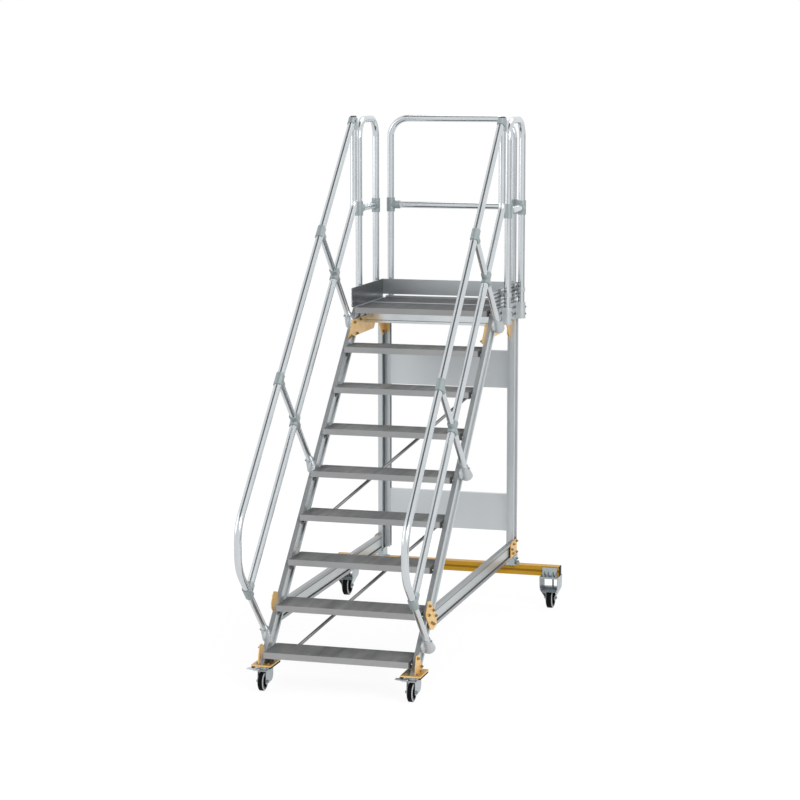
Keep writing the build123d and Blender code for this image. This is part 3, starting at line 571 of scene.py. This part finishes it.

# Dark colour of the brackets: painted shade under the treads' ends
bracket_shade_grey = drawn_aluminium(
    "bracket_shade_aluminium", (0.12, 0.125, 0.13), (0.07, 0.073, 0.075), crosswise_grain, 0.55, 0.4
)
for side, sign in (("left", -1), ("right", 1)):
    brackets = []
    screw_places = []
    for number in range(1, 9):
        under_tread = number * rise - bracket_drop
        middle = first_nose + (number - 1) * rise + bracket_behind_nose
        wall = sign * (inner_face - seat_gap)
        upright = start_box(
            (wall - sign * bracket_sheet / 2, middle, under_tread - bracket_leg / 2),
            (bracket_sheet, bracket_long, bracket_leg),
        )
        level = start_box(
            (wall - sign * bracket_leg / 2, middle, under_tread - bracket_sheet / 2),
            (bracket_leg, bracket_long, bracket_sheet),
        )
        brackets += [upright, level]
        screw_x = wall - sign * bracket_sheet
        screw_z = under_tread - bracket_screw_drop
        screw_places.append(((screw_x, middle, screw_z), (-sign, 0, 0)))
    bpy.ops.object.select_all(action="DESELECT")
    for part in brackets:
        part.select_set(True)
    bpy.context.view_layer.objects.active = brackets[0]
    bpy.ops.object.join()
    bpy.ops.object.transform_apply(location=True, rotation=True, scale=True)
    angles = bpy.context.active_object
    round_edges(angles, 0.0007, 1)
    finished(angles, f"tread_brackets_{side}", bracket_shade_grey, "root")
    copies_of(
        hex_bolt(bracket_screw_radius), f"tread_screws_{side}", screw_places, steel_screws,
        "root",
    )


# Deck joint: a strip of extruded aluminium with sloping edges, snapped over the gap between the two
# planks, bright as a painted highlight along the joint.
platform_nose = first_nose + 8 * rise
platform_top = 9 * rise
joint_behind_nose = 0.322
strip_size = (0.790, 0.012, 0.0024)
strip_slope = 0.0025
strip_crown = 0.0008
strip_place = (0, platform_nose + joint_behind_nose, platform_top + strip_size[2] / 2)
strip = start_box(strip_place, strip_size)
pick_faces(strip, lambda middle, normal: normal.z > 0.9)
bpy.ops.mesh.inset(thickness=strip_slope)
bpy.ops.transform.translate(value=(0, 0, strip_crown))
bpy.ops.object.mode_set(mode="OBJECT")
bpy.ops.object.transform_apply(location=True, rotation=True, scale=True)
# Bright colour: a painted highlight along the joint
joint_highlight_metal = drawn_aluminium(
    "joint_strip_aluminium", (0.72, 0.74, 0.75), (0.60, 0.62, 0.63), crosswise_grain
)
finished(strip, "deck_joint_strip", joint_highlight_metal, "root")


# Toe boards: thin extruded aluminium, ribbed outside, fixed round the deck on its three guarded
# sides. The left board has painted shade inside, less of it low down where a painted reflection
# lightens it, the rear one has painted shade towards the left, and the grooves outside have
# painted shade.
board_outside = 0.4165
board_groove_pitch = 0.0224


def toe_board_shade(finish):
    across = finish.place.parts()[0]
    # Painted shade towards the left
    return (0.15 - across * 2.2).clamp() * 0.28


def side_board_shade(finish):
    across, _, up = finish.place.parts()
    outside = ((across.math("ABSOLUTE") - board_outside) * 2000).clamp()
    # Painted shade on the left board's inside, lighter low down as a painted reflection
    inside = (across * -100).clamp() * (1 - outside)
    low_down = up.near(platform_top + 0.025, 0.012, 0.012)
    groove = ((up - platform_top) * (tau / board_groove_pitch)).math("COSINE")
    # Painted shade in the grooves outside
    shaded_grooves = ((groove - 0.1) * 3).clamp() * 0.92
    return (inside * (0.80 - low_down * 0.22) + outside * shaded_grooves).clamp()


board_light = (0.60, 0.63, 0.64)
board_dark = (0.48, 0.505, 0.515)
rear_board = drawn_aluminium(
    "rear_board_aluminium", board_light, board_dark, crosswise_grain, shade=toe_board_shade
)
side_board = drawn_aluminium(
    "side_board_aluminium", board_light, board_dark, level_grain, 0.85, 0.23, side_board_shade
)
paint_nodes(rear_board, "toe_board_rear")
paint_nodes(side_board, "toe_board_left", "toe_board_right")


# Rails: handrails, knee rails, struts and guards of round aluminium tube, bent cold and held in
# cast fittings. Their satin skin mirrors the room along its length.
def tube_aluminium(name):
    finish = Finish(name)
    clouds = finish.noise(5.0, 4.0, 0.55)
    satin = finish.noise(900.0, 2.0, 0.5)
    return finish.done(
        Base_Color=finish.blend(clouds, (0.57, 0.60, 0.615), (0.68, 0.70, 0.715)),
        Metallic=0.9,
        Roughness=(0.17 + (clouds - 0.5) * 0.08).clamp(),
        Normal=finish.bump(satin, 0.005, 0.0003),
    )


rails = [
    f"{name}_{side}"
    for name in ("handrail", "knee_rail", "rail_struts", "side_guard")
    for side in ("left", "right")
]
paint_nodes(tube_aluminium("tube_aluminium"), *rails, "rear_guard")


# Rail connectors: cast sleeves that join the tubes, painted a pale greenish grey with a fine
# grain. The foot sockets, screwed to the stringers, are left plain.
socket_top = 0.10
plain_cast = ((0.44, 0.465, 0.475), (0.60, 0.625, 0.635))
green_cast = ((0.26, 0.305, 0.31), (0.40, 0.45, 0.455))


def cast_metal(name, plain_below, height=height_off_flight):
    """Cast metal, plain below a height and greenish above, measured off the flight by default."""
    finish = Finish(name)
    grain = finish.noise(650.0, 2.0, 0.5)
    clouds = finish.noise(22.0, 4.0, 0.6)
    painted = ((height(finish) - plain_below) * 100).clamp()
    green = finish.blend(clouds, *green_cast)
    plain = finish.blend(clouds, *plain_cast)
    return finish.done(
        Base_Color=finish.blend(painted, plain, green),
        Metallic=0.45 - painted * 0.1,
        Roughness=(0.38 + (clouds - 0.5) * 0.25).clamp(),
        Normal=finish.bump(grain, 0.15, 0.0005),
    )


cast = cast_metal("cast_connectors", socket_top)
paint_nodes(cast, "rail_connectors_left", "rail_connectors_right")


# Socket pads: round cast pads with rounded rims, left plain, on the stringer beside each foot
# socket. A hex screw through each socket clamps its strut.
above_everything = 9.0
outer_face = 0.425
socket_face = 0.4695
pad_radius = 0.031
pad_thickness = 0.014
pad_rounding = 0.004
pad_before_strut = 0.036
pad_below_noses = 0.060
screw_below_noses = 0.055
clamp_screw_radius = 0.0050
cast_pale = cast_metal("cast_aluminium", above_everything)
along_slope = Vector((0, cos(flight_slope), sin(flight_slope)))
off_slope = Vector((0, -sin(flight_slope), cos(flight_slope)))
nose_line = Vector((0, first_nose, rise))
strut_places = (0.170, 1.279, 2.321)
for side, sign in (("left", -1), ("right", 1)):
    bpy.ops.object.select_all(action="DESELECT")
    bpy.ops.mesh.primitive_cylinder_add(
        vertices=40, radius=pad_radius, depth=pad_thickness, location=(0, 0, pad_thickness / 2)
    )
    pad = bpy.context.active_object
    bpy.ops.object.transform_apply(location=True, rotation=True, scale=True)
    round_edges(pad, pad_rounding, 3)
    pad_places = []
    screw_places = []
    for along in strut_places:
        beside = nose_line + along_slope * (along - pad_before_strut)
        beside -= off_slope * pad_below_noses
        pad_places.append(((sign * (outer_face + seat_gap), beside.y, beside.z), (sign, 0, 0)))
        middle = nose_line + along_slope * along - off_slope * screw_below_noses
        screw_places.append(((sign * socket_face, middle.y, middle.z), (sign, 0, 0)))
    copies_of(pad, f"socket_pads_{side}", pad_places, cast_pale, "root")
    copies_of(
        hex_bolt(clamp_screw_radius), f"socket_screws_{side}", screw_places, steel_screws,
        "root",
    )


# Post plugs: moulded black plastic plugs with a raised middle, pushed into the open tops of the
# two posts that the knee rails end in, beside the platform.
plug_radius = 0.0185
plug_rim = 0.004
plug_slope = 0.005
plug_crown = 0.0015
post_top = (0.445, 0.7382, 2.9630)


def black_rubber(name, colour, roughness):
    """Black rubber or plastic with a little dust on it and a fine moulded grain."""
    finish = Finish(name)
    dust = finish.noise(60.0, 4.0, 0.65)
    grain = finish.noise(900.0, 2.0, 0.5)
    pale = tuple(2 * part + 0.005 for part in colour)
    return finish.done(
        Base_Color=finish.blend(((dust - 0.5) * 1.6).clamp(), colour, pale),
        Roughness=(roughness + (dust - 0.5) * 0.2).clamp(),
        Specular_IOR_Level=0.07,
        Normal=finish.bump(grain, 0.25, 0.0004),
    )


cap_plastic = black_rubber("cap_plastic", (0.010, 0.010, 0.009), 0.5)
bpy.ops.object.select_all(action="DESELECT")
bpy.ops.mesh.primitive_cylinder_add(
    vertices=32, radius=plug_radius, depth=plug_rim, location=(0, 0, plug_rim / 2)
)
plug = bpy.context.active_object
bpy.ops.object.transform_apply(location=True, rotation=True, scale=True)
pick_faces(plug, lambda middle, normal: normal.z > 0.9)
bpy.ops.mesh.inset(thickness=plug_slope)
bpy.ops.transform.translate(value=(0, 0, plug_crown))
bpy.ops.object.mode_set(mode="OBJECT")
post_tops = [((sign * post_top[0], *post_top[1:]), (0, 0, 1)) for sign in (-1, 1)]
copies_of(plug, "post_plugs", post_tops, cap_plastic, "root")


# Guard fittings: cast collars on the knee bars, painted as the connectors are, and the plain cups
# and bands that hold the legs. Two hex screws through each cup clamp its leg.
collars_above = 2.2
side_cup_face = 0.4781
side_cup_places = (0.8642, post_middle)
rear_cup_x = 0.382
rear_cup_face = 1.3266
cup_screw_heights = (1.790, 1.832)


def height_off_floor(finish):
    return finish.place.parts()[2]


cast_guard = cast_metal("cast_guard_fittings", collars_above, height_off_floor)
paint_nodes(cast_guard, "guard_fittings_left", "guard_fittings_right", "guard_fittings_rear")
for side, sign in (("left", -1), ("right", 1)):
    cup_screws = [
        ((sign * side_cup_face, leg_y, height), (sign, 0, 0))
        for leg_y in side_cup_places
        for height in cup_screw_heights
    ]
    cup_screws += [
        ((sign * rear_cup_x, rear_cup_face, height), (0, 1, 0)) for height in cup_screw_heights
    ]
    copies_of(
        hex_bolt(clamp_screw_radius), f"cup_screws_{side}", cup_screws, steel_screws,
        "root",
    )


# Gold plates: gussets and castor plates of steel sheet, zinc plated and passivated yellow, so
# the gold drifts a little towards pink and brown. Golden hex bolts hold them to the bars.
def passivated_gold(name):
    finish = Finish(name)
    drift = finish.noise(9.0, 3.0, 0.5)
    clouds = finish.noise(30.0, 4.0, 0.6)
    warm = finish.blend((drift * 1.6 - 0.3).clamp(), (0.86, 0.50, 0.13), (0.92, 0.62, 0.26))
    upward = (finish.facing((0, 0, 1)) * 3 - 2).clamp()
    # Darker gold: random clouds, and painted shade on faces turned up
    shade = ((clouds - 0.35) * 0.7 + upward * 0.8).clamp()
    return finish.done(
        Base_Color=finish.blend(shade, warm, (0.52, 0.28, 0.03)),
        Metallic=0.4,
        Roughness=(0.36 + (clouds - 0.5) * 0.25).clamp(),
        Normal=finish.bump(finish.noise(300.0), 0.06, 0.0005),
    )


gold = passivated_gold("passivated_gold")
paint_nodes(gold, "gussets_left", "gussets_right", "front_castor_plates")

# Gusset bolts: golden hex nuts with the bolts' ends through them. They are listed by plate, as
# distance behind the first nose and height from the floor.
plate_inner_face = 0.3947
plate_outer_face = 0.4303
gusset_nut_radius = 0.0075
bolt_end = 0.004
platform_bolts = (
    (1.638, 1.779), (1.754, 1.785), (1.683, 1.709), (1.574, 1.705), (1.536, 1.703),
    (1.986, 1.781), (2.066, 1.776), (2.155, 1.780), (2.240, 1.780), (2.230, 1.661),
)
rail_bolts = (
    (0.342, 0.410), (0.395, 0.369), (0.258, 0.402), (0.314, 0.349), (0.352, 0.334), (0.272, 0.448),
)
corner_bolts = ((2.282, 0.402), (2.208, 0.396), (2.163, 0.372), (2.282, 0.335), (2.190, 0.342))
ear_bolts = ((0.040, 0.222), (0.108, 0.164))
for side, sign in (("left", -1), ("right", 1)):
    inward = [
        ((sign * plate_inner_face, first_nose + back, up), (-sign, 0, 0))
        for back, up in platform_bolts
    ]
    outward = [
        ((sign * plate_outer_face, first_nose + back, up), (sign, 0, 0))
        for back, up in rail_bolts + corner_bolts + ear_bolts
    ]
    copies_of(
        hex_bolt(gusset_nut_radius, bolt_end), f"gusset_bolts_{side}", inward + outward,
        bronze_screws, "root",
    )


# Plate bolts: four of zinc plated steel through each castor plate, with their heads on the gold
# plate and their nuts under the castor's top plate.
swivel_y = first_nose + 0.050
castor_x = 0.407
gold_plate_top = 0.1420
castor_top_underside = 0.1297
half_spread = (0.030, 0.038)
plate_bolt_radius = 0.0062
for side, sign in (("left", -1), ("right", 1)):
    corners = [
        (sign * castor_x + across * half_spread[0], swivel_y + along * half_spread[1])
        for across in (-1, 1)
        for along in (-1, 1)
    ]
    plate_bolts = [((x, y, gold_plate_top), (0, 0, 1)) for x, y in corners]
    plate_bolts += [((x, y, castor_top_underside), (0, 0, -1)) for x, y in corners]
    copies_of(
        hex_bolt(plate_bolt_radius), f"plate_bolts_{side}", plate_bolts, steel_screws,
        "root",
    )


# Cross beam: square steel tube in mustard yellow paint, with a groove along its front and rear
# faces, and black plastic caps pushed into its ends.
beam_groove_height = 0.230


def mustard_paint(name):
    finish = Finish(name)
    clouds = finish.noise(7.0, 4.0, 0.6)
    peel = finish.noise(420.0, 2.0, 0.5)
    # Painted light: faces turned up are paler
    upward = (finish.facing((0, 0, 1)) * 3 - 2).clamp()
    # Painted shade in the groove
    groove = finish.place.parts()[2].near(beam_groove_height, 0.0055, 0.002)
    front = finish.blend(clouds, (0.50, 0.265, 0.012), (0.60, 0.335, 0.022))
    pale = finish.blend(upward * 0.8, front, (0.66, 0.38, 0.14))
    return finish.done(
        Base_Color=finish.blend(groove * (1 - upward) * 0.6, pale, (0.20, 0.08, 0.003)),
        Roughness=(0.45 + (clouds - 0.5) * 0.2).clamp(),
        Specular_IOR_Level=0.2,
        Normal=finish.bump(peel, 0.1, 0.0005),
    )


paint_nodes(mustard_paint("mustard_paint"), "cross_beam")
paint_nodes(cap_plastic, "beam_caps")


# Zinc parts: forks, brackets, saddles and races of pressed steel with bright blue zinc, bolted to
# the plates and the beam. They have painted shade inside, on the low faces turned to the wheels.
rear_castor_x = 0.645
wheel_side_shade_top = 0.196


def bright_zinc(name, wheel_line):
    """Zinc with painted shade on the faces turned to the wheels, which run on a line each side."""
    finish = Finish(name)
    inputs = {"Vector": finish.place, "Scale": 130.0}
    cell = finish.wire.add("ShaderNodeTexVoronoi", None, inputs, "Color").parts()[0]
    clouds = finish.noise(28.0, 4.0, 0.6)
    mottle = (clouds * 0.85 + cell * 0.06).clamp()
    bright = finish.blend(mottle, (0.31, 0.35, 0.365), (0.52, 0.57, 0.59))
    across = finish.place.parts()[0]
    side = across.math("SIGN")
    # Painted shade on the low faces turned to the wheel
    inward = (finish.facing((1, 0, 0)) * side * (across * side - wheel_line)) * -60
    low = ((wheel_side_shade_top - finish.place.parts()[2]) * 300).clamp()
    wheel_side_shade = inward.clamp() * low
    return finish.done(
        Base_Color=finish.blend(wheel_side_shade * 0.8, bright, (0.07, 0.085, 0.092)),
        Metallic=0.8 - wheel_side_shade * 0.55,
        Roughness=(0.24 + cell * 0.04 + (clouds - 0.5) * 0.2).clamp(),
        Normal=finish.bump(finish.noise(240.0), 0.04, 0.0004),
    )


front_zinc = bright_zinc("front_zinc", castor_x)
rear_zinc = bright_zinc("rear_zinc", rear_castor_x)
paint_nodes(front_zinc, "front_castor_fork_left", "front_castor_fork_right", "front_castor_tops")
paint_nodes(rear_zinc, "rear_castor_brackets", "rear_castor_forks", "beam_saddles")


# Brake pedals: a tongue of pressed and zinc plated steel over each front fork's crown. It narrows
# to its tip on the left, and its front edge is turned down.
tongue_place = (-0.065, -0.016, 0.1055)
tongue_size = (0.062, 0.064, 0.004)
front_edge_place = (-0.0165, -0.0467, 0.1059)
front_edge_size = (0.073, 0.0022, 0.0094)
tip_rise = 0.001
pedal_zinc = dark_steel("pedal_zinc", (0.80, 0.86, 0.88), (0.64, 0.70, 0.72), 0.35, 0.45)
for side, sign in (("left", -1), ("right", 1)):
    swivel = Vector((sign * castor_x, swivel_y, 0))
    tongue = start_box(swivel + Vector(tongue_place), tongue_size)
    pick_faces(tongue, lambda middle, normal: normal.x < -0.9)
    bpy.ops.transform.resize(value=(1, 0.5, 1))
    bpy.ops.transform.translate(value=(0, 0, tip_rise))
    bpy.ops.object.mode_set(mode="OBJECT")
    start_box(swivel + Vector(front_edge_place), front_edge_size)
    tongue.select_set(True)
    bpy.ops.object.join()
    bpy.ops.object.transform_apply(location=True, rotation=True, scale=True)
    pedal = bpy.context.active_object
    round_edges(pedal, 0.0008, 2)
    finished(pedal, f"brake_pedal_{side}", pedal_zinc, f"front_castor_{side}")


# Saddle bolts: zinc plated, two through each saddle's cheek into the post, and two down through
# its foot into the cross beam.
beam_middle = 1.2342
cheek_outside = 0.4313
cheek_bolt_height = 0.292
cheek_bolts_along = (-0.025, 0.025)
foot_bolt_x = 0.4380
foot_top = 0.2663
foot_bolts_along = (-0.018, 0.018)
saddle_nut_radius = 0.0065
for side, sign in (("left", -1), ("right", 1)):
    saddle_bolts = [
        ((sign * cheek_outside, post_middle + along, cheek_bolt_height), (sign, 0, 0))
        for along in cheek_bolts_along
    ]
    saddle_bolts += [
        ((sign * foot_bolt_x, beam_middle + along, foot_top), (0, 0, 1))
        for along in foot_bolts_along
    ]
    copies_of(
        hex_bolt(saddle_nut_radius, bolt_end), f"saddle_bolts_{side}", saddle_bolts,
        steel_screws, "root",
    )


# Bracket studs: zinc plated nuts with long bolt ends, standing on the rear castor plates in front
# of the cross beam and behind it.
studs_across = (0.612, 0.634, 0.665, 0.687)
studs_back = (1.1845, 1.2815)
bracket_plate_top = 0.1997
stud_nut_radius = 0.0075
stud_end = 0.016
for side, sign in (("left", -1), ("right", 1)):
    studs = [
        ((sign * stud_x, stud_y, bracket_plate_top), (0, 0, 1))
        for stud_x in studs_across
        for stud_y in studs_back
    ]
    copies_of(
        hex_bolt(stud_nut_radius, stud_end), f"bracket_studs_{side}", studs, steel_screws,
        "root",
    )


# Fork rods: a zinc plated rod down through each rear castor, from the bracket to the crown over
# the wheel.
rod_radius = 0.0048
rod_length = 0.054
rod_beside_wheel = 0.014
rod_foot_height = 0.1352
for side, sign in (("left", -1), ("right", 1)):
    bpy.ops.object.select_all(action="DESELECT")
    bpy.ops.mesh.primitive_cylinder_add(
        vertices=20, radius=rod_radius, depth=rod_length, location=(0, 0, rod_length / 2)
    )
    rod = bpy.context.active_object
    bpy.ops.object.transform_apply(location=True, rotation=True, scale=True)
    round_edges(rod, 0.0008, 1)
    rod_x = sign * rear_castor_x + rod_beside_wheel
    rod_foot = [((rod_x, beam_middle, rod_foot_height), (0, 0, 1))]
    copies_of(rod, f"fork_rod_{side}", rod_foot, steel_screws, "root")


# Braces: two round aluminium bars that slant from side to side behind the treads, with their
# flattened ends bolted to the treads' rear walls.
brace_end_x = 0.330
brace_behind_nose = 0.2303
brace_bolt_drop = 0.020
brace_bolt_radius = 0.0065
brace_ends = ((1, -1), (4, 1), (4, -1), (7, 1))
brace_bar = drawn_aluminium(
    "brace_aluminium", (0.34, 0.35, 0.355), (0.20, 0.207, 0.21), crosswise_grain, 0.6, 0.4
)
paint_nodes(brace_bar, "braces")
brace_bolts = []
for number, sign in brace_ends:
    behind = first_nose + (number - 1) * rise + brace_behind_nose
    height = number * rise - brace_bolt_drop
    brace_bolts.append(((sign * brace_end_x, behind, height), (0, 1, 0)))
copies_of(
    hex_bolt(brace_bolt_radius), "brace_bolts", brace_bolts, steel_screws, "root"
)


# Axle nuts: zinc plated hex nuts with their washers, one on each end of each axle. The front
# ones turn with their fork.
front_axle_y = first_nose + 0.005
rear_axle_y = beam_middle
front_axle_height = 0.050
rear_axle_height = 0.0625
front_fork_half = 0.0245
rear_fork_half = 0.0300
front_nut_radius = 0.0080
rear_nut_radius = 0.0085
for side, sign in (("left", -1), ("right", 1)):
    front_nuts = [
        ((sign * castor_x + end * front_fork_half, front_axle_y, front_axle_height), (end, 0, 0))
        for end in (-1, 1)
    ]
    copies_of(
        hex_bolt(front_nut_radius), f"front_axle_nuts_{side}", front_nuts, steel_screws,
        f"front_castor_{side}",
    )
    rear_nuts = [
        ((sign * rear_castor_x + end * rear_fork_half, rear_axle_y, rear_axle_height), (end, 0, 0))
        for end in (-1, 1)
    ]
    copies_of(
        hex_bolt(rear_nut_radius), f"rear_axle_nuts_{side}", rear_nuts, steel_screws,
        "root",
    )


# Tyres and plate strips: moulded black rubber. The tyres are solid and sit on their hubs, and the
# strips lie along the undersides of the front castor plates.
rubber = black_rubber("tyre_rubber", (0.004, 0.004, 0.004), 0.6)
ends_and_sides = [(end, side) for end in ("front", "rear") for side in ("left", "right")]
paint_nodes(rubber, *[f"tyre_{end}_{side}" for end, side in ends_and_sides], "plate_strips")


# Hubs: moulded plastic wheels that turn on the axles, black in the middle, with a pale grey ring
# that holds the tyre.
front_ring_radius = 0.0405
rear_ring_radius = 0.0530


def hub_plastic(name, centre, ring_start):
    """Black plastic that turns pale grey beyond a radius from the axle."""
    finish = Finish(name)
    _, back, up = finish.place.parts()
    behind = back - centre[0]
    above = up - centre[1]
    radius = (behind * behind + above * above).math("SQRT")
    ring = ((radius - ring_start) * 2000).clamp()
    clouds = finish.noise(40.0, 3.0, 0.5)
    pale = finish.blend(clouds, (0.40, 0.42, 0.43), (0.52, 0.54, 0.55))
    return finish.done(
        Base_Color=finish.blend(ring, (0.012, 0.012, 0.013), pale),
        Roughness=(0.45 + (clouds - 0.5) * 0.2).clamp(),
        Specular_IOR_Level=0.3,
        Normal=finish.bump(finish.noise(700.0), 0.12, 0.0004),
    )


front_axle = (front_axle_y, front_axle_height)
rear_axle = (rear_axle_y, rear_axle_height)
front_hub = hub_plastic("front_hub_plastic", front_axle, front_ring_radius)
rear_hub = hub_plastic("rear_hub_plastic", rear_axle, rear_ring_radius)
paint_nodes(front_hub, "hub_front_left", "hub_front_right")
paint_nodes(rear_hub, "hub_rear_left", "hub_rear_right")
